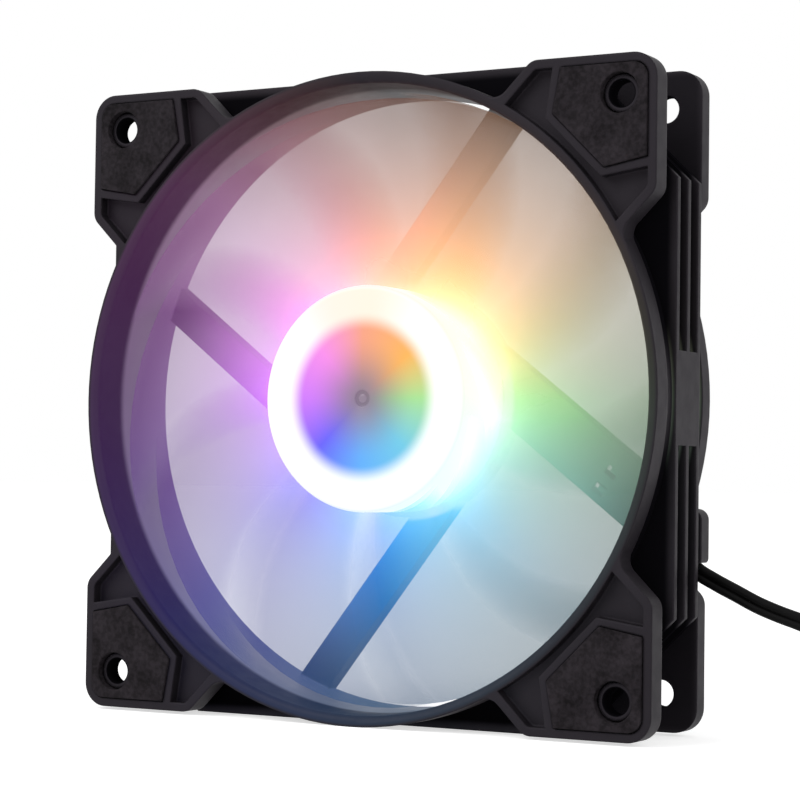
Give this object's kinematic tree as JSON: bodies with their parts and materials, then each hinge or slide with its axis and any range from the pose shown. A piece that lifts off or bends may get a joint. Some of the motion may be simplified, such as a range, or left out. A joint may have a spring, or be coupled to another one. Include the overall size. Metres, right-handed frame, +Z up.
{
  "type": "case fan",
  "caption": "120 mm lit case fan: black ribbed square frame with rubber corner pads, swept struts, translucent glowing impeller and a flat two-core lead with plug.",
  "frame": {"origin": "middle of the fan's lower edge, on the surface it stands on", "axes": "+X to the fan's right seen from the front, +Y to the rear along the spin axis, +Z up"},
  "size_m": [0.1945, 0.0328, 0.12],
  "materials": {
    "frame_plastic": "charcoal-black moulded plastic, fine satin",
    "pad_rubber": "brown-black rubber, mottled matt",
    "lamp_plastic": "translucent milky plastic, lit from inside",
    "brass": "drawn brass",
    "bronze": "oil-soaked sintered bronze",
    "nylon": "natural nylon",
    "lamination": "stacked silicon steel",
    "insulator_plastic": "white moulded plastic",
    "copper_wire": "enamelled copper wire",
    "board": "white circuit board",
    "chip_black": "black moulded chip package",
    "passive": "tan ceramic chips",
    "lamp": "white lamp package with a clear window",
    "yoke_steel": "drawn plated steel",
    "magnet": "bonded ferrite",
    "shaft_steel": "ground steel",
    "lead_vinyl": "black vinyl, satin",
    "plug_plastic": "black moulded plastic",
    "contact_tin": "plated spring brass"
  },
  "bodies": {
    "fan_body": {"frame": "frame_plastic", "front_pad_top_right": "pad_rubber", "front_pad_top_left": "pad_rubber", "front_pad_bottom_left": "pad_rubber", "front_pad_bottom_right": "pad_rubber", "rear_pad_top_right": "pad_rubber", "rear_pad_top_left": "pad_rubber", "rear_pad_bottom_left": "pad_rubber", "rear_pad_bottom_right": "pad_rubber", "bearing_tube": "brass", "sleeve_bearing": "bronze", "oil_seal": "nylon", "thrust_pad": "nylon", "stator_core": "lamination", "front_insulator": "insulator_plastic", "rear_insulator": "insulator_plastic", "stator_winding_1": "copper_wire", "stator_winding_2": "copper_wire", "stator_winding_3": "copper_wire", "stator_winding_4": "copper_wire", "motor_board": "board", "hall_sensor": "chip_black", "driver_chip": "chip_black", "board_passives": "passive", "hub_lamp_1": "lamp", "hub_lamp_2": "lamp", "hub_lamp_3": "lamp", "hub_lamp_4": "lamp", "hub_lamp_5": "lamp", "hub_lamp_6": "lamp", "fan_lead": "lead_vinyl", "lead_coil": "lead_vinyl", "lead_tail": "lead_vinyl", "lead_tie": "lead_vinyl", "plug_housing": "plug_plastic", "plug_contacts": "contact_tin"},
    "rotor": {"impeller": "lamp_plastic", "rotor_yoke": "yoke_steel", "magnet_ring": "magnet", "shaft_bush": "brass", "rotor_shaft": "shaft_steel", "retaining_ring": "nylon"}
  },
  "joints": [
    {"name": "impeller_spin", "type": "hinge", "parent": "fan_body", "child": "rotor", "pos_m": [0, 0, 0.06], "axis": [0, -1, 0], "continuous": true}
  ]
}
